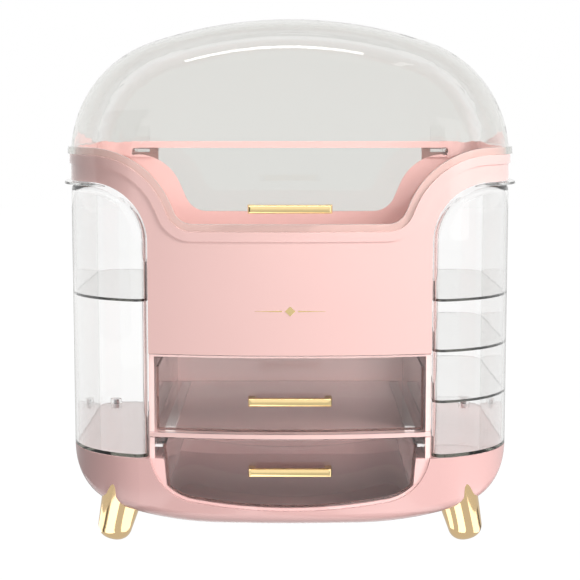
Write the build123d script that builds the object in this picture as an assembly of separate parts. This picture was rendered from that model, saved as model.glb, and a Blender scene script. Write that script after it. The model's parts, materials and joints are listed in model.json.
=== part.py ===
from build123d import *
import os
from math import atan2, cos, sin, sqrt, tan

# Dustproof vanity organizer: a boat-shaped base on four splayed feet, a centre column with two
# drawers, an upper body whose rim dips like a saddle, two swing-out side caddies and a domed lid.
# Millimetres. X is across the front, the front faces -Y, Z is up from the table.

os.makedirs("parts", exist_ok=True)

# ---------------------------------------------------------------- driving dimensions
# overall form
body_half_width = 185.0
body_depth = 250.0
top_height = 431.0
front_bow_radius = 580.0
front_corner_radius = 78.0
rear_corner_radius = 25.0
dome_spring_height = 317.5
dome_shoulder_radius = 99.8

# walls and clearances
moulded_wall = 3.0
clear_wall = 2.4
drawer_front_wall = 3.0
tray_wall = 2.0
seam_gap = 0.4
slide_gap = 0.2
pin_clearance = 0.05
bond_gap = 0.05

# base
base_bottom = 20.0
base_top = 73.0
bilge_run = 80.4
bilge_rise = 22.8
bilge_radius = 335.0
chine_radius = 46.0
base_side_tuck = 0.6
keel_edge_radius = 9.0
front_frame_depth = 8.0
front_frame_margin = 4.0
bay_clearance = 2.5
tray_mouth_gap = 0.8

# column and drawers
column_half_width = 115.0
column_wall = 4.5
column_top = 160.0
column_roof = 2.5
divider_top = 95.0
divider_thickness = 3.5
front_reveal = 0.5
upper_tray_side_gap = 2.0
upper_tray_headroom = 8.3
upper_tray_back_gap = 15.0
glide_height = 2.0
glide_width = 8.0
glide_inset = 10.5
runner_inset = 20.0
lower_tray_side_gap = 7.5
lower_tray_draft = 5.0
lower_tray_headroom = 5.5
lower_tray_back_gap = 19.0
rail_height = 2.4
rail_reach = 6.0
lip_thickness = 2.0
lip_side_gap = 1.0
aperture_side_height = 42.9
aperture_keel_height = 26.5
aperture_corner_radius = 42.0
aperture_keel_radius = 520.0

# upper body and saddle
arm_underside = 297.8
arm_arch_radius = 47.5
saddle_dip = 259.5
saddle_crest = 319.5
saddle_foot_in = 22.0
saddle_head_out = 3.7
saddle_foot_radius = 21.5
saddle_head_radius = 66.0
rim_band_height = 7.7
rim_band_relief = 1.2
upstand_height = 6.0
upstand_thickness = 2.2
upstand_root = 9.0
window_side_inset = 35.0
window_end_height = 6.0
window_end_radius = 2.0
window_head_radius = 45.0

# lid
lid_rim_height = 6.2
lid_rim_relief = 2.8
hinge_side_inset = 45.0
hinge_axis_out = 4.6
hinge_knuckle_radius = 4.0
hinge_pin_radius = 1.5
hinge_body_knuckle = 8.0
hinge_lid_knuckle = 14.0
hinge_plate_thickness = 2.4
hinge_plate_height = 17.0
hinge_neck_depth = 1.0

# caddies
caddy_gap = 1.5
caddy_sole_gap = 0.4
caddy_head_gap = 1.0
caddy_floor = 2.5
caddy_flange_reach = 10.0
caddy_flange = 2.2
caddy_corner_radius = 8.0
caddy_lip_reach = 5.6
caddy_lip_thickness = 2.0
caddy_lip_run = 35.0
shelf_thickness = 2.2
left_shelf_levels = [203.0]
right_shelf_levels = [119.5, 161.5, 203.0]
left_guard_height = 30.0
right_guard_height = 14.0
guard_thickness = 2.0
pivot_from_side = 17.0
pivot_from_back = 9.5
pivot_pin_radius = 2.5
pivot_boss_radius = 5.5
pivot_boss_height = 4.0
pivot_pin_depth = 8.0
pivot_pin_head_radius = 4.0
pivot_pin_head_height = 1.5
pivot_web_reach = 14.0

# handles
handle_length = 67.0
handle_height = 7.0
handle_bar = 4.2
handle_post = 5.6
handle_projection = 12.5
handle_edge_radius = 3.0
lid_handle_rise = 19.1
upper_handle_drop = 36.2
lower_handle_drop = 25.1

# feet
foot_side_inset = 36.0
foot_y_inset = 35.5
foot_splay = 14.0
foot_splay_fore = 3.0
foot_tip_radius = 13.0
foot_top_radius = 18.9
foot_length = 53.0
foot_round = 11.0
foot_contact_depth = 1.0
foot_boss_radius = 6.5
foot_boss_top = 44.0

# screws
screw_radius = 1.25
screw_head_radius = 2.6
screw_head_height = 1.6
foot_screw_radius = 2.0
foot_screw_head_radius = 4.0
foot_screw_head_height = 2.4
foot_screw_end = 18.0
screw_bite = 6.0
base_screw_inset = 45.0
roof_screw_side_inset = 15.0
roof_screw_end_inset = 28.0
roof_screw_bite = 2.4
panel_screw_inset = 12.0
hinge_screw_spread = 10.0
hinge_screw_bite = 2.4

# ---------------------------------------------------------------- derived places
hinge_projection = hinge_axis_out + hinge_knuckle_radius
front_y = (handle_projection - body_depth - hinge_projection) / 2
back_y = front_y + body_depth
far = 2 * body_half_width + top_height
keel_half_width = body_half_width - bilge_run
saddle_foot_x = column_half_width - saddle_foot_in
saddle_head_x = column_half_width + saddle_head_out
window_end_x = body_half_width - window_side_inset
hinge_offset = body_half_width - hinge_side_inset
hinge_y = back_y + hinge_axis_out
hinge_z = saddle_crest
pivot_x = body_half_width - pivot_from_side
pivot_y = back_y - pivot_from_back
caddy_inner = column_half_width + caddy_gap
caddy_sole = base_top + caddy_sole_gap
caddy_head = arm_underside - caddy_head_gap
caddy_floor_top = caddy_sole + caddy_floor
foot_x = body_half_width - foot_side_inset
foot_y_front = front_y + foot_y_inset
foot_y_back = back_y - foot_y_inset
column_inner = column_half_width - column_wall
column_back = back_y - moulded_wall
roof_bottom = column_top - column_roof
deck_bottom = base_top - moulded_wall
roof_screw_x = column_half_width - roof_screw_side_inset
divider_bottom = divider_top - divider_thickness
rebate_depth = drawer_front_wall + front_reveal
upper_tray_half_width = column_inner - upper_tray_side_gap
upper_tray_bottom = divider_top + glide_height + slide_gap
upper_tray_rim = roof_bottom - upper_tray_headroom
upper_tray_back = column_back - upper_tray_back_gap
glide_offset = upper_tray_half_width - glide_inset
lower_tray_top_half = column_inner - lower_tray_side_gap
lower_tray_foot_half = lower_tray_top_half - lower_tray_draft
lower_tray_top = divider_bottom - lower_tray_headroom
lower_tray_back = column_back - lower_tray_back_gap
bay_half = lower_tray_top_half + bay_clearance
rail_top = lower_tray_top - lip_thickness - slide_gap
wall_middle = column_half_width - column_wall / 2
lid_handle_height = saddle_dip + lid_handle_rise
upper_handle_height = column_top - upper_handle_drop
lower_handle_height = divider_bottom - lower_handle_drop


# ---------------------------------------------------------------- helpers
def block(x_low, x_high, y_low, y_high, z_low, z_high):
    """A box between two corners."""
    centre = ((x_low + x_high) / 2, (y_low + y_high) / 2, (z_low + z_high) / 2)
    return Pos(*centre) * Box(x_high - x_low, y_high - y_low, z_high - z_low)


def prism_y(face, y_low, y_high):
    """A face drawn in x and z, carried along Y."""
    return extrude(Plane.XZ.offset(-y_low) * face, amount=y_low - y_high)


def closed(outline, *corners):
    """A face bounded by an outline and the straight lines that close it."""
    ends = [outline @ 1, *corners, outline @ 0]
    return make_face([outline, Polyline(*ends)])


def rod_y(radius, y_low, y_high, x, z):
    """A round rod along Y."""
    return Pos(x, (y_low + y_high) / 2, z) * Rot(90, 0, 0) * Cylinder(radius, y_high - y_low)


def rod_x(radius, x_low, x_high, y, z):
    """A round rod along X."""
    return Pos((x_low + x_high) / 2, y, z) * Rot(0, 90, 0) * Cylinder(radius, x_high - x_low)


def rod_z(radius, z_low, z_high, x, y):
    """A round rod along Z."""
    return Pos(x, y, (z_low + z_high) / 2) * Cylinder(radius, z_high - z_low)


def both_sides(shape):
    """The shape and its mirror image across the centre plane."""
    return [shape, mirror(shape, Plane.YZ)]


def bow_y(x, inset=0.0):
    """Where the bowed front lies at a distance x from the centre."""
    return front_y + front_bow_radius - sqrt((front_bow_radius - inset) ** 2 - x * x)


def envelope(inset=0.0):
    """The whole outer form of body and dome, moved inwards by inset."""
    half = body_half_width - inset
    rise = top_height - dome_spring_height
    shoulder_x = body_half_width - dome_shoulder_radius
    crown_radius = (body_half_width**2 + rise**2 - 2 * body_half_width * dome_shoulder_radius) / (
        2 * (rise - dome_shoulder_radius)
    )
    crown_z = top_height - crown_radius
    join_angle = atan2(dome_spring_height - crown_z, shoulder_x)
    shoulder = dome_shoulder_radius - inset
    join = (
        shoulder_x + shoulder * cos(join_angle),
        dome_spring_height + shoulder * sin(join_angle),
    )
    middle = (
        shoulder_x + shoulder * cos(join_angle / 2),
        dome_spring_height + shoulder * sin(join_angle / 2),
    )
    crown = (0, top_height - inset)
    outline = make_face(
        [
            Polyline((-half, dome_spring_height), (-half, 0), (half, 0), (half, dome_spring_height)),
            ThreePointArc((half, dome_spring_height), middle, join),
            ThreePointArc(join, crown, (-join[0], join[1])),
            ThreePointArc((-join[0], join[1]), (-middle[0], middle[1]), (-half, dome_spring_height)),
        ]
    )
    form = prism_y(outline, front_y - body_half_width, back_y - inset)
    bow = Pos(0, front_y + front_bow_radius, 0) * Cylinder(front_bow_radius - inset, far * 2)
    form = (form & bow).solids()[0]
    front_face = form.faces().sort_by(Axis.Y)[0]
    form = fillet([e for e in front_face.edges() if e.center().Z > 1], front_corner_radius - inset)
    back_face = form.faces().sort_by(Axis.Y)[-1]
    return fillet([e for e in back_face.edges() if e.center().Z > 1], rear_corner_radius - inset)


def above_saddle(lift=0.0):
    """Everything above the body's rim: a saddle at the front, level at the sides and the back."""
    slope = atan2(saddle_crest - saddle_dip, saddle_head_x - saddle_foot_x)
    shift = lift * tan(slope / 2)
    head, foot = saddle_head_x - shift, saddle_foot_x - shift
    crest, dip = saddle_crest + lift, saddle_dip + lift
    head_radius, foot_radius = saddle_head_radius + lift, saddle_foot_radius - lift
    rim = FilletPolyline(
        (-far, crest),
        (-head, crest),
        (-foot, dip),
        (foot, dip),
        (head, crest),
        (far, crest),
        radius=[head_radius, foot_radius, foot_radius, head_radius],
    )
    front = prism_y(closed(rim, (far, far), (-far, far)), -far, 0)
    return front + block(-far, far, -far, far, crest, far)


def rim_band(low, high):
    """The band that follows the rim between two distances from it."""
    return above_saddle(low) - above_saddle(high)


def mushroom(inset=0.0):
    """The upper body's outline: the column's width below, the full width above the arm arches."""
    half = column_half_width - inset
    arch = arm_underside + inset
    radius = arm_arch_radius + inset
    left = FilletPolyline((-half, column_top + inset), (-half, arch), (-far, arch), radius=radius)
    right = FilletPolyline((far, arch), (half, arch), (half, column_top + inset), radius=radius)
    sides = Polyline((-far, arch), (-far, far), (far, far), (far, arch))
    bottom = Line((half, column_top + inset), (-half, column_top + inset))
    return prism_y(make_face([left, sides, right, bottom]), -far, far)


def boat(inset=0.0):
    """The base's front outline: level keel, rising bilges and round chines."""
    side = body_half_width - base_side_tuck
    chine = base_bottom + bilge_rise
    outline = FilletPolyline(
        (-side, top_height),
        (-side, chine),
        (-keel_half_width, base_bottom),
        (keel_half_width, base_bottom),
        (side, chine),
        (side, top_height),
        radius=[chine_radius, bilge_radius, bilge_radius, chine_radius],
    )
    return offset(closed(outline), amount=-inset) if inset else closed(outline)


def aperture(inset=0.0):
    """The boat-shaped mouth of the lower drawer in the base, open at the top."""
    outline = FilletPolyline(
        (-column_half_width, column_top),
        (-column_half_width, aperture_side_height),
        (0, aperture_keel_height),
        (column_half_width, aperture_side_height),
        (column_half_width, column_top),
        radius=[aperture_corner_radius, aperture_keel_radius, aperture_corner_radius],
    )
    return offset(closed(outline), amount=-inset) if inset else closed(outline)


def lower_tray_form(grow=0.0):
    """The lower tray's form along Y: drafted sides and a boat-shaped bottom."""
    draft = lower_tray_draft / (lower_tray_top - aperture_keel_height)
    mouth_half = lower_tray_top_half + draft * (column_top - lower_tray_top)
    sides = Polyline(
        (-mouth_half, column_top),
        (-lower_tray_foot_half, aperture_keel_height),
        (lower_tray_foot_half, aperture_keel_height),
        (mouth_half, column_top),
        close=True,
    )
    section = make_face(sides) & aperture(drawer_front_wall)
    return prism_y(offset(section, amount=grow) if grow else section, -far, far)


def handle(height):
    """A gold bridge pull, seated on the bowed front at a height, with its two screws."""
    low, high = height - handle_height / 2, height + handle_height / 2
    half = handle_length / 2
    outer = front_y - handle_projection
    seat = bow_y(half, drawer_front_wall)
    bar = block(-half, half, outer, seat, low, high)
    bar = fillet(bar.edges().group_by(Axis.Y)[0], handle_edge_radius)
    gap_half = half - handle_post
    return bar - block(-gap_half, gap_half, outer + handle_bar, seat, 0, top_height)


def handle_screws(height, wall):
    """Two screws from inside a front wall into a handle's posts."""
    x = (handle_length - handle_post) / 2
    inner = bow_y(x, wall)
    shank = rod_y(screw_radius, inner - wall - screw_bite, inner, x, height)
    head = rod_y(screw_head_radius, inner, inner + screw_head_height, x, height)
    return both_sides(shank + head)


def front_plate(face):
    """A front wall as thick as a drawer front, cut to an outline drawn in x and z."""
    return (whole - inner_front) & prism_y(face, -far, 0)


# ---------------------------------------------------------------- shared forms
whole = envelope()
inner_moulded = envelope(moulded_wall)
inner_clear = envelope(clear_wall)
inner_front = envelope(drawer_front_wall)
saddle = above_saddle()
parts = {}


# ---------------------------------------------------------------- feet
def at_foot(shape, y):
    """A shape drawn upright about a foot's axis, tilted outwards and set at the right-hand side."""
    fore = -foot_splay_fore if y < 0 else foot_splay_fore
    return Pos(foot_x, y, foot_tip_height) * Rot(fore, -foot_splay, 0) * shape


def foot_form():
    """One tapered foot about its own axis, tip at the origin."""
    profile = FilletPolyline(
        (0, 0), (foot_tip_radius, 0), (foot_top_radius, foot_length), radius=foot_round
    )
    return revolve(Plane.XZ * closed(profile, (0, foot_length)), Axis.Z)


def upright_rod(radius, low, high):
    """A rod on a foot's own axis."""
    return rod_z(radius, low, high, 0, 0)


tilted_form = Rot(foot_splay_fore, -foot_splay, 0) * foot_form()
foot_tip_height = -tilted_form.bounding_box().min.Z - foot_contact_depth
foot_places = {"front": foot_y_front, "rear": foot_y_back}


# ---------------------------------------------------------------- base
def base_form():
    """The base's outer form, with a rounded front keel edge."""
    form = whole & prism_y(boat(), -far, far) & block(-far, far, -far, far, 0, base_top)
    low_edges = [e for e in form.edges() if e.center().Z < base_top - 1]
    return fillet([e for e in low_edges if e.geom_type != GeomType.LINE], keel_edge_radius)


def base_shell():
    """The boat-shaped base: a closed pod each side and the lower drawer's bay between them."""
    inside = inner_moulded & prism_y(boat(moulded_wall), -far, far)
    pod = inside & block(bay_half + moulded_wall, far, -far, far, 0, base_top - moulded_wall)
    bay = inside & block(-bay_half, bay_half, -far, far, 0, far)
    frame_half = column_half_width + front_frame_margin
    frame = block(-frame_half, frame_half, -far, 0, 0, base_top) - envelope(front_frame_depth)
    shell = base_outer
    for cut in (*both_sides(pod), bay):
        shell = shell - cut
    shell = shell + (frame & base_outer)
    shell = shell - (prism_y(aperture(), -far, 0) - envelope(rebate_depth))
    shell = shell - (lower_tray_form(tray_mouth_gap) & block(-far, far, -far, 0, 0, far))
    deck_boss = rod_z(pivot_boss_radius, base_top - pivot_pin_depth, base_top, pivot_x, pivot_y)
    for boss in both_sides(deck_boss):
        shell = shell + boss
    for y in foot_places.values():
        boss = at_foot(upright_rod(foot_boss_radius, foot_screw_end, foot_boss_top), y) & base_outer
        hole = at_foot(upright_rod(foot_screw_radius, 0, foot_boss_top), y)
        for side_boss, side_hole in zip(both_sides(boss), both_sides(hole)):
            shell = shell + side_boss - side_hole
    seat_bottom = base_top - pivot_pin_depth
    for pin in both_sides(rod_z(pivot_pin_radius, seat_bottom, base_top, pivot_x, pivot_y)):
        shell = shell - pin
    for y in base_screw_places:
        for hole in both_sides(rod_z(screw_radius, deck_bottom, base_top, wall_middle, y)):
            shell = shell - hole
    return shell


base_outer = base_form()
base_screw_places = (front_y + base_screw_inset, back_y - base_screw_inset)
parts["base_shell"] = base_shell()

above_table = block(-far, far, -far, far, 0, far)
screws = []
for end, y in foot_places.items():
    shape = (at_foot(foot_form(), y) & above_table) - base_outer
    shape = shape - at_foot(upright_rod(foot_screw_radius, foot_screw_end, foot_length), y)
    for side, solid in zip(("right", "left"), both_sides(shape)):
        parts[f"{end}_{side}_foot"] = solid
    shank = upright_rod(foot_screw_radius, foot_screw_end, foot_boss_top)
    head = upright_rod(foot_screw_head_radius, foot_boss_top, foot_boss_top + foot_screw_head_height)
    screws += both_sides(at_foot(shank + head, y))
parts["foot_screws"] = Compound(children=screws)


# ---------------------------------------------------------------- column
def column_housing():
    """Two side walls on the base's decks, joined by a roof."""
    wall = block(column_inner, column_half_width, -far, column_back, base_top, column_top)
    roof = block(-column_inner, column_inner, -far, column_back, roof_bottom, column_top)
    left, right = both_sides(wall)
    housing = (left + right + roof) & envelope(rebate_depth)
    for rod in (*base_screw_shanks, *roof_screw_shanks, *panel_screw_shanks):
        housing = housing - rod
    return housing


def headed_screw_z(x, y, low, high, head_below):
    """An upright screw: shank from low to high, with its head at one end."""
    shank = rod_z(screw_radius, low, high, x, y)
    top = low if head_below else high + screw_head_height
    return shank + rod_z(screw_head_radius, top - screw_head_height, top, x, y)


base_screw_shanks, base_screw_solids = [], []
roof_screw_shanks, roof_screw_solids = [], []
panel_screw_shanks, panel_screw_solids = [], []
for y in base_screw_places:
    top = base_top + screw_bite
    base_screw_shanks += both_sides(rod_z(screw_radius, deck_bottom, top, wall_middle, y))
    base_screw_solids += both_sides(headed_screw_z(wall_middle, y, deck_bottom, top, True))
for y in (front_y + roof_screw_end_inset, back_y - roof_screw_end_inset):
    top = column_top + roof_screw_bite
    roof_screw_shanks += both_sides(rod_z(screw_radius, roof_bottom, top, roof_screw_x, y))
    roof_screw_solids += both_sides(headed_screw_z(roof_screw_x, y, roof_bottom, top, True))
for z in (base_top + panel_screw_inset, column_top - panel_screw_inset):
    shank = rod_y(screw_radius, column_back - screw_bite, back_y, wall_middle, z)
    head = rod_y(screw_head_radius, back_y, back_y + screw_head_height, wall_middle, z)
    panel_screw_shanks += both_sides(shank)
    panel_screw_solids += both_sides(shank + head)
parts["base_screws"] = Compound(children=base_screw_solids)
parts["roof_screws"] = Compound(children=roof_screw_solids)
parts["back_panel_screws"] = Compound(children=panel_screw_solids)
parts["column_housing"] = column_housing()

back_panel = block(-column_half_width, column_half_width, column_back, back_y, base_top, column_top)
for rod in panel_screw_shanks:
    back_panel = back_panel - rod
parts["back_panel"] = back_panel

divider = block(-column_inner, column_inner, -far, column_back, divider_bottom, divider_top)
parts["drawer_divider"] = divider & envelope(front_reveal)

runner_front, runner_back = front_y + runner_inset, column_back - runner_inset
glide = block(
    glide_offset - glide_width / 2,
    glide_offset + glide_width / 2,
    runner_front,
    runner_back,
    divider_top,
    divider_top + glide_height,
)
parts["upper_drawer_glides"] = Compound(children=both_sides(glide))
rail = block(
    column_inner - rail_reach, column_inner, runner_front, runner_back, rail_top - rail_height, rail_top
)
parts["lower_drawer_rails"] = Compound(children=both_sides(rail))


# ---------------------------------------------------------------- upper body
def upper_body():
    """Front panel, saddle-edged arms, well and side ledges in one moulding."""
    shell = (whole & mushroom()) - (inner_moulded & mushroom(moulded_wall))
    shell = shell - saddle
    relief = (envelope(-rim_band_relief) - inner_moulded) & block(-far, far, -far, back_y, 0, far)
    band = relief & rim_band(-rim_band_height, 0)
    upstand_outer = clear_wall + seam_gap
    upstand = envelope(upstand_outer) - envelope(upstand_outer + upstand_thickness)
    upstand = upstand & rim_band(-upstand_root, upstand_height)
    shell = shell + band + (upstand - window_space(body_depth / 2)) - window_space(moulded_wall)
    pins = rod_z(pivot_pin_radius, caddy_sole, arm_underside + moulded_wall, pivot_x, pivot_y)
    for hole in (*both_sides(pins), *roof_screw_shanks, *bracket_screw_shanks):
        shell = shell - hole
    return shell


def window_space(depth):
    """The part of the back wall that the clear window fills, to a depth from the back."""
    ledge = saddle_crest - window_end_height
    slope = (saddle_head_x - saddle_foot_x) / (saddle_crest - saddle_dip)
    head = saddle_head_x - slope * window_end_height
    radii = [window_end_radius, window_head_radius, saddle_foot_radius]
    outline = FilletPolyline(
        (-window_end_x, saddle_crest),
        (-window_end_x, ledge),
        (-head, ledge),
        (-saddle_foot_x, saddle_dip),
        (saddle_foot_x, saddle_dip),
        (head, ledge),
        (window_end_x, ledge),
        (window_end_x, saddle_crest),
        radius=radii + radii[::-1],
    )
    return prism_y(closed(outline), back_y - depth, back_y)


parts["rear_window"] = window_space(moulded_wall)


# ---------------------------------------------------------------- lid hinge
def hinge_bracket():
    """The body's half of one hinge: a plate on the back and two knuckles."""
    half = hinge_lid_knuckle / 2 + seam_gap + hinge_body_knuckle
    top = hinge_z - hinge_knuckle_radius - slide_gap
    plate_x = (hinge_offset - half, hinge_offset + half)
    plate_back = back_y + hinge_plate_thickness
    bracket = block(*plate_x, back_y, plate_back, top - hinge_plate_height, top)
    for x_low in (hinge_offset - half, hinge_offset + half - hinge_body_knuckle):
        x_high = x_low + hinge_body_knuckle
        bracket = bracket + rod_x(hinge_knuckle_radius, x_low, x_high, hinge_y, hinge_z)
        neck = (x_low, x_high, back_y + seam_gap, hinge_y)
        bracket = bracket + block(*neck, top - hinge_neck_depth, hinge_z - hinge_pin_radius)
    return bracket


def hinge_leaf():
    """The lid's half of one hinge: a plate on the lid's back and one knuckle."""
    half = hinge_lid_knuckle / 2
    x_range = (hinge_offset - half, hinge_offset + half)
    low = hinge_z + hinge_knuckle_radius
    seat = back_y + bond_gap
    leaf = block(*x_range, seat, seat + hinge_plate_thickness, low, low + hinge_plate_height)
    neck_low = hinge_z + 2 * hinge_pin_radius
    leaf = leaf + block(*x_range, seat, hinge_y, neck_low, low + hinge_neck_depth)
    return leaf + rod_x(hinge_knuckle_radius, *x_range, hinge_y, hinge_z)


pin_half = hinge_lid_knuckle / 2 + seam_gap + hinge_body_knuckle
pin = rod_x(hinge_pin_radius, hinge_offset - pin_half, hinge_offset + pin_half, hinge_y, hinge_z)
pin_bore = rod_x(hinge_pin_radius + pin_clearance, 0, body_half_width, hinge_y, hinge_z)
bracket_screw_shanks, bracket_screw_solids = [], []
bracket_screw_z = hinge_z - hinge_knuckle_radius - hinge_plate_height / 2
for x in (hinge_offset - hinge_screw_spread, hinge_offset + hinge_screw_spread):
    plate_back = back_y + hinge_plate_thickness
    shank = rod_y(screw_radius, back_y - hinge_screw_bite, plate_back, x, bracket_screw_z)
    head = rod_y(screw_head_radius, plate_back, plate_back + screw_head_height, x, bracket_screw_z)
    bracket_screw_shanks += both_sides(shank)
    bracket_screw_solids += both_sides(shank + head)

bracket = hinge_bracket() - pin - bracket_screw_shanks[0] - bracket_screw_shanks[2]
parts["upper_body"] = upper_body()
parts["hinge_brackets"] = Compound(children=both_sides(bracket))
parts["hinge_bracket_screws"] = Compound(children=bracket_screw_solids)
parts["lid_hinge_pins"] = Compound(children=both_sides(pin))
parts["lid_hinge_leaves"] = Compound(children=both_sides(hinge_leaf() - pin_bore))


# ---------------------------------------------------------------- lid
def lid_dome():
    """The clear dome, its saddle skirt and its proud rim."""
    dome = (whole - inner_clear) & above_saddle(seam_gap)
    rim = envelope(-lid_rim_relief) - inner_clear
    rim = rim & rim_band(seam_gap, lid_rim_height)
    return dome + (rim & block(-far, far, -far, back_y, 0, far))


lid_screws = handle_screws(lid_handle_height, clear_wall)
lid = lid_dome()
lid_handle = handle(lid_handle_height) - whole
for rod in lid_screws:
    lid, lid_handle = lid - rod, lid_handle - rod
parts["lid_dome"] = lid
parts["lid_handle"] = lid_handle
parts["lid_handle_screws"] = Compound(children=lid_screws)


# ---------------------------------------------------------------- drawers
def upper_drawer_tray():
    """Full-overlay bowed front and an open tray in one clear moulding."""
    half = column_half_width - front_reveal
    plate = front_plate(
        make_face(
            Polyline(
                (-half, divider_top + front_reveal),
                (half, divider_top + front_reveal),
                (half, column_top - front_reveal),
                (-half, column_top - front_reveal),
                close=True,
            )
        )
    )
    tray_half, back, low = upper_tray_half_width, upper_tray_back, upper_tray_bottom
    outer = block(-tray_half, tray_half, -far, back, low, upper_tray_rim) & whole
    inner_half, inner_back = tray_half - tray_wall, back - tray_wall
    well = block(-inner_half, inner_half, -far, inner_back, low + tray_wall, far)
    return plate + (outer - (well & inner_front))


def lower_drawer_tray():
    """Boat-shaped front and a drafted tray with side lips in one clear moulding."""
    below = block(-far, far, -far, far, 0, divider_bottom - front_reveal)
    plate = front_plate(aperture(front_reveal)) & below
    back = lower_tray_back
    outer = lower_tray_form() & whole & block(-far, far, -far, back, 0, lower_tray_top)
    well = lower_tray_form(-tray_wall) & inner_front & block(-far, far, -far, back - tray_wall, 0, far)
    lip_end = column_inner - lip_side_gap
    lip_front = front_y + runner_inset
    lip_low = lower_tray_top - lip_thickness
    lip = block(lower_tray_top_half - tray_wall, lip_end, lip_front, back, lip_low, lower_tray_top)
    tray = outer
    for side in both_sides(lip):
        tray = tray + side
    return plate + (tray - well)


upper_screws = handle_screws(upper_handle_height, drawer_front_wall)
upper_tray, upper_handle = upper_drawer_tray(), handle(upper_handle_height) - whole
for rod in upper_screws:
    upper_tray, upper_handle = upper_tray - rod, upper_handle - rod
parts["upper_drawer_tray"] = upper_tray
parts["upper_drawer_handle"] = upper_handle
parts["upper_drawer_handle_screws"] = Compound(children=upper_screws)

lower_screws = handle_screws(lower_handle_height, drawer_front_wall)
lower_tray, lower_handle = lower_drawer_tray(), handle(lower_handle_height) - whole
for rod in lower_screws:
    lower_tray, lower_handle = lower_tray - rod, lower_handle - rod
parts["lower_drawer_tray"] = lower_tray
parts["lower_drawer_handle"] = lower_handle
parts["lower_drawer_handle_screws"] = Compound(children=lower_screws)


# ---------------------------------------------------------------- caddies
def caddy_space(inset=0.0):
    """The room under the right-hand arm that a caddy fills, moved inwards by inset."""
    outline = FilletPolyline(
        (caddy_inner + inset, caddy_sole),
        (caddy_inner + inset, caddy_head - inset),
        (far, caddy_head - inset),
        radius=arm_arch_radius - caddy_gap - inset,
    )
    return prism_y(closed(outline, (far, caddy_sole)), -far, far)


def rounded_corner(form, x, radius):
    """The form with its front edge beside the column, and on round the arch, rounded."""
    uprights = [e for e in form.edges() if e.geom_type == GeomType.LINE and e.center().Y < 0]
    beside = [e for e in uprights if abs(e.center().X - x) < seam_gap and e.length > radius]
    return fillet(beside, radius)


def caddy_room():
    """The hollow of a caddy, open to the column and the arch between its front and rear hoops."""
    hollow = inner_clear & caddy_space(caddy_flange) & block(-far, far, -far, far, caddy_floor_top, far)
    hollow = rounded_corner(hollow, caddy_inner + caddy_flange, caddy_corner_radius - caddy_flange)
    front, rear = bow_y(caddy_inner) + caddy_flange_reach, back_y - caddy_flange_reach
    side = inner_clear & caddy_space() & block(-far, far, front, rear, caddy_floor_top, far)
    return hollow + side


def caddy_shell():
    """One clear caddy: walls, floor, front and rear hoops, pull lip and pivot bosses."""
    space = caddy_space()
    shell = rounded_corner(whole & space, caddy_inner, caddy_corner_radius) - room
    lip_low = caddy_head - caddy_lip_thickness
    lip = (Pos(caddy_lip_reach, 0, 0) * whole - inner_clear) & block(
        body_half_width - caddy_lip_run, far, -far, back_y, lip_low, caddy_head
    )
    corner = block(
        pivot_x - pivot_web_reach, far, pivot_y - pivot_web_reach, far, lip_low, caddy_head
    )
    boss_top = caddy_floor_top + pivot_boss_height
    low_boss = rod_z(pivot_boss_radius, caddy_sole, boss_top, pivot_x, pivot_y)
    high_boss = rod_z(
        pivot_boss_radius, lip_low - pivot_boss_height, caddy_head, pivot_x, pivot_y
    )
    bore = rod_z(pivot_pin_radius + pin_clearance, 0, far, pivot_x, pivot_y)
    return shell + (lip & space) + (corner & inner_clear & space) + low_boss + high_boss - bore


def shelf(level):
    """One shelf between the caddy's walls, centred on a level."""
    low = level - shelf_thickness / 2
    return block(caddy_inner, far, -far, far, low, low + shelf_thickness) & room


def guards(levels, height):
    """The low rails on a caddy's open side, one on the floor and one on each shelf."""
    front = bow_y(caddy_inner) + caddy_flange_reach
    rear = back_y - caddy_flange_reach
    feet = [caddy_floor_top] + [level + shelf_thickness / 2 for level in levels]
    x_range = (caddy_inner, caddy_inner + guard_thickness)
    return [block(*x_range, front, rear, foot, foot + height) for foot in feet]


def pivot_pins():
    """The right-hand caddy's lower pin in the base and its headed upper pin in the arm."""
    low_pin_top = caddy_floor_top + pivot_boss_height
    low = rod_z(pivot_pin_radius, base_top - pivot_pin_depth, low_pin_top, pivot_x, pivot_y)
    ledge = arm_underside + moulded_wall
    high_pin_bottom = caddy_head - caddy_lip_thickness - pivot_boss_height
    high = rod_z(pivot_pin_radius, high_pin_bottom, ledge, pivot_x, pivot_y)
    head = rod_z(
        pivot_pin_head_radius, ledge, ledge + pivot_pin_head_height, pivot_x, pivot_y
    )
    return [low, high + head]


def left(shape):
    """A right-hand shape mirrored to the left."""
    return mirror(shape, Plane.YZ)


room = caddy_room()
caddy = caddy_shell()
right_guards = guards(right_shelf_levels, right_guard_height)
left_guards = [left(rail) for rail in guards(left_shelf_levels, left_guard_height)]
parts["right_caddy_shell"] = caddy
parts["left_caddy_shell"] = left(caddy)
for name, level in zip(("lower", "middle", "upper"), right_shelf_levels):
    parts[f"right_caddy_{name}_shelf"] = shelf(level)
parts["left_caddy_shelf"] = left(shelf(left_shelf_levels[0]))
parts["right_caddy_guards"] = Compound(children=right_guards)
parts["left_caddy_guards"] = Compound(children=left_guards)
parts["right_pivot_pins"] = Compound(children=pivot_pins())
parts["left_pivot_pins"] = Compound(children=[left(pin) for pin in pivot_pins()])

# ---------------------------------------------------------------- files
for name, shape in parts.items():
    export_step(shape, f"parts/{name}.step")
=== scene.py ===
"""The looks of a dustproof vanity organizer: glossy pink mouldings, clear caddies, drawers and
dome, gold handles and feet, in a plain white studio. Metres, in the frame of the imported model."""

import json
from math import cos, radians, sin

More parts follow.
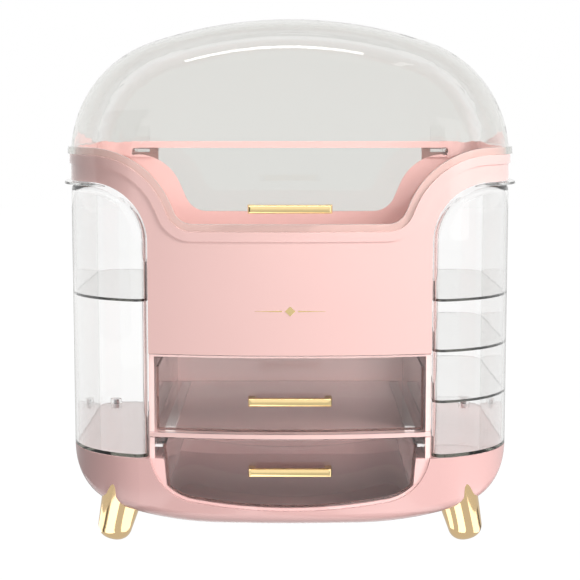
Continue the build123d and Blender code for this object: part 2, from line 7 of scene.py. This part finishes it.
import bpy
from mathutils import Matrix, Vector


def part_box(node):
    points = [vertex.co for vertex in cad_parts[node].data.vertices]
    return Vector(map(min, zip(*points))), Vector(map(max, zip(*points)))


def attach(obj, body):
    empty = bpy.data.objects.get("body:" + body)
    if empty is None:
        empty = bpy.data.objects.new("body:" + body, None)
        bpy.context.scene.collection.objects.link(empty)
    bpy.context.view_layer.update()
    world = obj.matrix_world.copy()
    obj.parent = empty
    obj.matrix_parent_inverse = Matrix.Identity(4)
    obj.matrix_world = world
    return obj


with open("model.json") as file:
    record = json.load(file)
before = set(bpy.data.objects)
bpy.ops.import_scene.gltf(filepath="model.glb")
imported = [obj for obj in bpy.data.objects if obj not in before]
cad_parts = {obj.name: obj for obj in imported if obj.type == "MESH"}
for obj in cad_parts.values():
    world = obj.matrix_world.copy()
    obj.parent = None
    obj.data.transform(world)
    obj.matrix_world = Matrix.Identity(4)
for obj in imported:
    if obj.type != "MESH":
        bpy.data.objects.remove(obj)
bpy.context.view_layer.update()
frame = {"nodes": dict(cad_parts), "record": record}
nodes = frame["nodes"]

# ---------------------------------------------------------------- driving values
# the camera, as fitted to the photograph
FRAME_PIXELS = 580
FOCAL_PIXELS = 1600
SENSOR = 36.0
CAMERA_PLACE = (0.0, -1.39405, 0.3649)
CAMERA_PITCH = 6.8
CLIP_NEAR, CLIP_FAR = 0.01, 50.0

# light bounces, enough for the paths inside clear walls that stand one behind another
BOUNCES = 24

# the plane of the object's back, and how far before it the dome's smoke begins and is full
BACK_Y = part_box("back_panel")[1][1]
SMOKE_BEGINS = 0.012
SMOKE_FULL = 0.004

# clear plastic: the painted shade its colour turns to where it is seen edge on, and what it lets
# through onto what stands behind it
PAINTED_EDGE_SHADE = (0.3, 0.29, 0.26)
LET_THROUGH = 0.98

# the middle of the noise's range, which is carried onto a finish's own range
NOISE_LOW, NOISE_HIGH = 0.3, 0.7

# the gold rule: its place on the panel, how far it stands out and goes in, and its parts
RULE_X, RULE_Z = 0.00015, 0.196
RULE_PROUD, RULE_SUNK = 0.0003, 0.0002
DASH_START, DASH_STEP, DASH_POINTS = 0.0065, 0.0022, 11
DASH_HALF, DASH_THINNING = 0.0005, 0.00004
LOZENGE_HALF_WIDTH, LOZENGE_HALF_HEIGHT, LOZENGE_TIP = 0.0042, 0.004, 0.0001

# what the studio's walls and floor send to the eye, to matte surfaces and to polished ones
WHITE = 1.0
AMBIENT = 0.07
MIRRORED_WALL = 1.05
MIRRORED_FLOOR = 0.78
SEEN_FLOOR = 1.17

# the floor: its size, its matte colour, and how much of it glows when seen or mirrored
FLOOR_SIZE = 8.0
FLOOR_MATTE = (0.2, 0.2, 0.2)
FLOOR_GLOW = 0.86
MIRRORED_FLOOR_GLOW = 0.8

# what the lamps and cards face: the middle of the body, or of the dome's rim
BODY_MIDDLE = (0.0, 0.0, 0.2)
RIM_MIDDLE = (0.0, 0.0, 0.3)

# the cards on the floor around a foot: radii of their ring, and height
FAN_NEAR, FAN_FAR = 0.022, 0.2
FAN_Z = 0.001


# ---------------------------------------------------------------- node helpers
def new_material(name):
    """An empty node material: the material, its nodes and a function that links two sockets."""
    material = bpy.data.materials.new(name)
    material.use_nodes = True
    tree = material.node_tree
    tree.nodes.clear()
    return material, tree.nodes, tree.links.new


def feed(link, value, socket):
    """Gives a socket a number, a colour, or what comes out of another node."""
    if isinstance(value, bpy.types.NodeSocket):
        link(value, socket)
    elif isinstance(value, tuple):
        socket.default_value = (*value, 1)
    else:
        socket.default_value = value


def principled(tree_nodes, colour, roughness, **settings):
    """A Principled shader with its plain values set."""
    shader = tree_nodes.new("ShaderNodeBsdfPrincipled")
    shader.inputs["Base Color"].default_value = (*colour, 1)
    shader.inputs["Roughness"].default_value = roughness
    for socket, value in settings.items():
        shader.inputs[socket.replace("_", " ")].default_value = value
    return shader


def object_noise(tree_nodes, link, scale, detail):
    """Noise in the object's own coordinates."""
    place = tree_nodes.new("ShaderNodeTexCoord")
    noise = tree_nodes.new("ShaderNodeTexNoise")
    noise.inputs["Scale"].default_value = scale
    noise.inputs["Detail"].default_value = detail
    link(place.outputs["Object"], noise.inputs["Vector"])
    return noise.outputs["Fac"]


def spread(tree_nodes, link, value, low, high, value_low=NOISE_LOW, value_high=NOISE_HIGH):
    """A value carried from its own range onto the range low to high."""
    ramp = tree_nodes.new("ShaderNodeMapRange")
    ramp.inputs["From Min"].default_value = value_low
    ramp.inputs["From Max"].default_value = value_high
    ramp.inputs["To Min"].default_value = low
    ramp.inputs["To Max"].default_value = high
    link(value, ramp.inputs["Value"])
    return ramp.outputs["Result"]


def bump(tree_nodes, link, height, distance):
    """A bump whose height is in metres."""
    node = tree_nodes.new("ShaderNodeBump")
    node.inputs["Distance"].default_value = distance
    node.inputs["Strength"].default_value = 1.0
    link(height, node.inputs["Height"])
    return node.outputs["Normal"]


def mixed_colour(tree_nodes, link, factor, a, b):
    """One colour turning into another by a factor."""
    mix = tree_nodes.new("ShaderNodeMix")
    mix.data_type = "RGBA"
    feed(link, a, mix.inputs["A"])
    feed(link, b, mix.inputs["B"])
    link(factor, mix.inputs["Factor"])
    return mix.outputs["Result"]


def finish_surface(tree_nodes, link, surface, volume=None):
    """The material's output."""
    out = tree_nodes.new("ShaderNodeOutputMaterial")
    link(surface, out.inputs["Surface"])
    if volume:
        link(volume, out.inputs["Volume"])


# ---------------------------------------------------------------- materials
def pink_plastic(name, pale, deep):
    """Glossy moulded pink, with the faint flow and orange peel of a moulding."""
    material, n, link = new_material(name)
    shader = principled(
        n, pale, 0.16, Specular_IOR_Level=0.5, Coat_Weight=0.25, Coat_Roughness=0.05
    )
    flow = object_noise(n, link, 9.0, 3.0)
    link(mixed_colour(n, link, flow, deep, pale), shader.inputs["Base Color"])
    peel = object_noise(n, link, 420.0, 1.0)
    link(bump(n, link, peel, 0.00003), shader.inputs["Normal"])
    link(spread(n, link, flow, 0.13, 0.2), shader.inputs["Roughness"])
    finish_surface(n, link, shader.outputs["BSDF"])
    return material


def clear_plastic(name, tint, density, wave, painted_edge_start, smoked_back=None):
    """Clear polished plastic whose colour is painted darker along its edges, where it is seen edge
    on (painted shade), and whose walls absorb light by their depth.
    """
    material, n, link = new_material(name)
    clear = (1.0, 1.0, 1.0)
    shader = principled(n, clear, 0.012, IOR=1.49, Transmission_Weight=1.0)
    turned = n.new("ShaderNodeLayerWeight")
    turned.inputs["Blend"].default_value = 0.5
    # painted shade: the colour turns dark towards the edges, where the wall is seen edge on
    rim = spread(n, link, turned.outputs["Facing"], 0.0, 1.0, painted_edge_start, 1.0)
    colour = mixed_colour(n, link, rim, clear, PAINTED_EDGE_SHADE)
    if smoked_back:
        place = n.new("ShaderNodeTexCoord")
        axes = n.new("ShaderNodeSeparateXYZ")
        link(place.outputs["Object"], axes.inputs["Vector"])
        rear = spread(
            n, link, axes.outputs["Y"], 0.0, 1.0, BACK_Y - SMOKE_BEGINS, BACK_Y - SMOKE_FULL
        )
        colour = mixed_colour(n, link, rear, colour, smoked_back)
    link(colour, shader.inputs["Base Color"])
    waves = object_noise(n, link, 18.0, 1.0)
    link(bump(n, link, waves, wave), shader.inputs["Normal"])

    passing = n.new("ShaderNodeBsdfTransparent")
    passing.inputs["Color"].default_value = (LET_THROUGH, LET_THROUGH, LET_THROUGH, 1)
    rays = n.new("ShaderNodeLightPath")
    mix = n.new("ShaderNodeMixShader")
    link(rays.outputs["Is Shadow Ray"], mix.inputs["Fac"])
    link(shader.outputs["BSDF"], mix.inputs[1])
    link(passing.outputs["BSDF"], mix.inputs[2])
    depth = n.new("ShaderNodeVolumeAbsorption")
    depth.inputs["Color"].default_value = (*tint, 1)
    depth.inputs["Density"].default_value = density
    finish_surface(n, link, mix.outputs["Shader"], depth.outputs["Volume"])
    return material


def gold(name, colour, roughness):
    """Bright plated gold with a faint unevenness in its polish."""
    material, n, link = new_material(name)
    shader = principled(n, colour, roughness, Metallic=1.0)
    patches = object_noise(n, link, 60.0, 3.0)
    polish = spread(n, link, patches, roughness * 0.7, roughness * 1.4)
    link(polish, shader.inputs["Roughness"])
    link(bump(n, link, patches, 0.00002), shader.inputs["Normal"])
    finish_surface(n, link, shader.outputs["BSDF"])
    return material


def steel():
    """Zinc-plated steel."""
    material, n, link = new_material("steel")
    shader = principled(n, (0.62, 0.63, 0.65), 0.3, Metallic=1.0)
    grain = object_noise(n, link, 900.0, 4.0)
    link(spread(n, link, grain, 0.22, 0.42), shader.inputs["Roughness"])
    finish_surface(n, link, shader.outputs["BSDF"])
    return material


def white_plastic():
    """Matte slide plastic."""
    material, n, link = new_material("white_plastic")
    shader = principled(n, (0.85, 0.85, 0.84), 0.45)
    grain = object_noise(n, link, 1500.0, 2.0)
    link(bump(n, link, grain, 0.00002), shader.inputs["Normal"])
    finish_surface(n, link, shader.outputs["BSDF"])
    return material


# pinks: pale and deep; clear plastics: tint, density, wave, start of the painted dark edge, smoke
finishes = {
    "pink_plastic": pink_plastic("pink_plastic", (0.83, 0.545, 0.515), (0.81, 0.525, 0.495)),
    # the base's deeper pink is a shaded copy of the body's pink: painted shade
    "base_shaded_pink": pink_plastic("base_shaded_pink", (0.76, 0.465, 0.445), (0.74, 0.445, 0.425)),
    # the paler pink inside the drawers' bay is a lit copy of the body's pink: painted light
    "bay_lit_pink": pink_plastic("bay_lit_pink", (0.87, 0.60, 0.57), (0.85, 0.58, 0.55)),
    "clear_plastic": clear_plastic("clear_plastic", (0.80, 0.80, 0.78), 40.0, 0.00004, 0.76),
    "tray_plastic": clear_plastic("tray_plastic", (0.80, 0.74, 0.72), 12.0, 0.00004, 0.82),
    "lid_plastic": clear_plastic(
        "lid_plastic", (0.80, 0.80, 0.775), 160.0, 0.00006, 0.86, (0.85, 0.845, 0.825)
    ),
    "window_plastic": clear_plastic(
        "window_plastic", (0.80, 0.80, 0.775), 430.0, 0.00004, 0.8
    ),
    "gold_plating": gold("gold_plating", (0.92, 0.67, 0.37), 0.09),
    "gold_metal": gold("gold_metal", (0.94, 0.73, 0.37), 0.16),
    "steel": steel(),
    "white_plastic": white_plastic(),
}

# nodes whose finish differs from their slot's: the base gets a deeper copy of the pink that is
# painted shade, and what closes the drawers' bay a paler copy that is painted light
own_finish = {
    "upper_drawer_tray": "tray_plastic",
    "lower_drawer_tray": "tray_plastic",
    "rear_window": "window_plastic",
    "base_shell": "base_shaded_pink",
    "back_panel": "bay_lit_pink",
    "column_housing": "bay_lit_pink",
    "drawer_divider": "bay_lit_pink",
}
slot_of = {row["node"]: row["material_slot"] for row in frame["record"]["subparts"]}
for name, node in nodes.items():
    node.data.materials.clear()
    node.data.materials.append(finishes[own_finish.get(name, slot_of[name])])


def mesh_object(name, corners, faces):
    """A mesh from its corners and faces, linked to the scene."""
    mesh = bpy.data.meshes.new(name)
    mesh.from_pydata(corners, [], faces)
    thing = bpy.data.objects.new(name, mesh)
    bpy.context.scene.collection.objects.link(thing)
    return thing


# ---------------------------------------------------------------- gold rule on the front panel
def rule_spans():
    """The rule's parts from left to right, as (x, half height): a dash, the lozenge, a dash."""
    dash = [
        (DASH_START + DASH_STEP * i, DASH_HALF - DASH_THINNING * i) for i in range(DASH_POINTS)
    ]
    right_half = [
        (LOZENGE_HALF_WIDTH / 2, LOZENGE_HALF_HEIGHT / 2),
        (LOZENGE_HALF_WIDTH, LOZENGE_TIP),
    ]
    lozenge = [(-x, half) for x, half in reversed(right_half)]
    lozenge += [(0.0, LOZENGE_HALF_HEIGHT)] + right_half
    return [(-x, half) for x, half in reversed(dash)], lozenge, dash


def gold_rule():
    """A thin rule with a lozenge in its middle, inlaid along the bow of the front panel."""
    corners, faces = [], []
    for span in rule_spans():
        first = len(corners)
        for along, half in span:
            x = RULE_X + along
            panel = nodes["upper_body"].ray_cast((x, -1.0, RULE_Z), (0, 1, 0))[1][1]
            for y in (panel - RULE_PROUD, panel + RULE_SUNK):
                corners += [(x, y, RULE_Z - half), (x, y, RULE_Z + half)]
        last = first + 4 * (len(span) - 1)
        for a in range(first, last, 4):
            b = a + 4
            faces += [(a, b, b + 1, a + 1), (a + 2, a + 3, b + 3, b + 2)]
            faces += [(a, a + 2, b + 2, b), (a + 1, b + 1, b + 3, a + 3)]
        faces += [(first, first + 1, first + 3, first + 2)]
        faces += [(last, last + 2, last + 3, last + 1)]
    piece = mesh_object("front_gold_rule", corners, faces)
    piece.data.materials.append(finishes["gold_metal"])
    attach(piece, "body")


gold_rule()


# ---------------------------------------------------------------- studio
def by_ray(tree_nodes, link, matte, mirrored, seen):
    """A level that depends on the kind of ray: light on matte surfaces, mirrored, or seen."""
    rays = tree_nodes.new("ShaderNodeLightPath")
    eye = tree_nodes.new("ShaderNodeMath")
    eye.operation = "MAXIMUM"
    link(rays.outputs["Is Camera Ray"], eye.inputs[0])
    link(rays.outputs["Is Transmission Ray"], eye.inputs[1])
    level = matte
    for ray, value in ((rays.outputs["Is Glossy Ray"], mirrored), (eye.outputs["Value"], seen)):
        choice = tree_nodes.new("ShaderNodeMapRange")
        feed(link, level, choice.inputs["To Min"])
        choice.inputs["To Max"].default_value = value
        link(ray, choice.inputs["Value"])
        level = choice.outputs["Result"]
    return level


def white_world():
    """White walls to the eye, and a plain even level of light on the object."""
    world = bpy.data.worlds.new("studio")
    bpy.context.scene.world = world
    world.use_nodes = True
    n, link = world.node_tree.nodes, world.node_tree.links.new
    n.clear()
    background = n.new("ShaderNodeBackground")
    background.inputs["Color"].default_value = (1, 1, 1, 1)
    link(by_ray(n, link, AMBIENT, MIRRORED_WALL, WHITE), background.inputs["Strength"])
    out = n.new("ShaderNodeOutputWorld")
    link(background.outputs["Background"], out.inputs["Surface"])


def floor():
    """A pale floor that looks white and keeps a trace of soft shadow."""
    bpy.ops.mesh.primitive_plane_add(size=FLOOR_SIZE)
    plane = bpy.context.object
    plane.name = "floor"
    material, n, link = new_material("floor")
    matte = n.new("ShaderNodeBsdfDiffuse")
    matte.inputs["Color"].default_value = (*FLOOR_MATTE, 1)
    glow = n.new("ShaderNodeEmission")
    link(by_ray(n, link, AMBIENT, MIRRORED_FLOOR, SEEN_FLOOR), glow.inputs["Strength"])
    mix = n.new("ShaderNodeMixShader")
    link(by_ray(n, link, 0.0, MIRRORED_FLOOR_GLOW, FLOOR_GLOW), mix.inputs["Fac"])
    link(matte.outputs["BSDF"], mix.inputs[1])
    link(glow.outputs["Emission"], mix.inputs[2])
    finish_surface(n, link, mix.outputs["Shader"])
    plane.data.materials.append(material)


def facing(thing, place, target):
    """Puts a lamp or a card in its place, turned to a point."""
    thing.location = place
    away = Vector(place) - Vector(target)
    thing.rotation_euler = away.to_track_quat("Z", "Y").to_euler()


def softbox(name, place, target, width, height, watts, mirrored=False):
    """A large rectangular lamp that faces a point."""
    data = bpy.data.lights.new(name, "AREA")
    data.shape = "RECTANGLE"
    data.size, data.size_y = width, height
    data.energy = watts
    lamp = bpy.data.objects.new(name, data)
    bpy.context.scene.collection.objects.link(lamp)
    facing(lamp, place, target)
    lamp.visible_glossy = mirrored
    lamp.visible_camera = lamp.visible_transmission = False


def only_mirrored(plane, level):
    """Makes a plane a glowing or dark card that only polished surfaces mirror."""
    material, n, link = new_material(plane.name)
    glow = n.new("ShaderNodeEmission")
    glow.inputs["Strength"].default_value = level
    finish_surface(n, link, glow.outputs["Emission"])
    plane.data.materials.append(material)
    plane.visible_camera = plane.visible_diffuse = plane.visible_transmission = False
    plane.visible_shadow = plane.visible_volume_scatter = False


def card(name, place, target, width, height, level):
    """A rectangular card that faces a point."""
    bpy.ops.mesh.primitive_plane_add(size=1)
    plane = bpy.context.object
    plane.name = name
    plane.scale = (width, height, 1)
    facing(plane, place, target)
    only_mirrored(plane, level)


def fan(name, centre, start, end, level):
    """A card on the floor, a slice of a ring: angles in degrees from the front to the right."""
    rim = [(FAN_FAR, start), (FAN_FAR, end), (FAN_NEAR, end), (FAN_NEAR, start)]
    corners = [
        (centre[0] + r * sin(radians(a)), centre[1] - r * cos(radians(a)), FAN_Z) for r, a in rim
    ]
    only_mirrored(mesh_object(name, corners, [(0, 1, 2, 3)]), level)


def foot_cards():
    """Bright and dark slices around the front feet, whose gold mirrors them as stripes."""
    slices = {
        "front_left_foot": ((-128, -78, 1.9), (-72, -62, 0.15), (-54, -6, 2.2), (28, 92, 2.0)),
        "front_right_foot": ((-90, -58, 1.9), (-30, 6, 2.2), (48, 94, 2.0), (104, 118, 0.15)),
    }
    for foot, strips in slices.items():
        low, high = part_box(foot)
        middle = ((low[0] + high[0]) / 2, (low[1] + high[1]) / 2)
        for start, end, level in strips:
            fan(f"{foot}_card_{start}", middle, start, end, level)


def camera():
    """The photograph's view."""
    data = bpy.data.cameras.new("camera")
    data.sensor_width = SENSOR
    data.lens = SENSOR * FOCAL_PIXELS / FRAME_PIXELS
    data.clip_start, data.clip_end = CLIP_NEAR, CLIP_FAR
    view = bpy.data.objects.new("camera", data)
    bpy.context.scene.collection.objects.link(view)
    view.location = CAMERA_PLACE
    view.rotation_euler = (radians(90 - CAMERA_PITCH), 0, 0)
    bpy.context.scene.camera = view


white_world()
floor()

# lamps: place, target, width, height, watts; the top one is the highlight along the dome
softbox("front", (0.2, -2.3, 0.34), BODY_MIDDLE, 0.7, 0.4, 30.0)
softbox("key", (1.7, -1.15, 1.35), BODY_MIDDLE, 0.9, 0.9, 52.0)
softbox("back", (-1.1, 1.7, 0.9), BODY_MIDDLE, 1.2, 0.8, 42.0)
softbox("top", (-0.09, -0.12, 1.5), (-0.09, 0.0, 0.3), 0.95, 0.07, 2.0, mirrored=True)

# cards: place, target, width, height, level
card("dome_glow", (0.62, -0.16, 1.5), RIM_MIDDLE, 0.2, 0.06, 3.0)
card("right_glow", (1.4, -1.1, 0.5), BODY_MIDDLE, 0.8, 0.8, 1.8)
card("left_dark", (-1.1, -0.6, 0.3), BODY_MIDDLE, 1.0, 1.2, 0.1)
foot_cards()
camera()
bpy.context.scene.view_settings.view_transform = "Standard"
cycles = bpy.context.scene.cycles
cycles.max_bounces = cycles.glossy_bounces = BOUNCES
cycles.transmission_bounces = cycles.transparent_max_bounces = BOUNCES
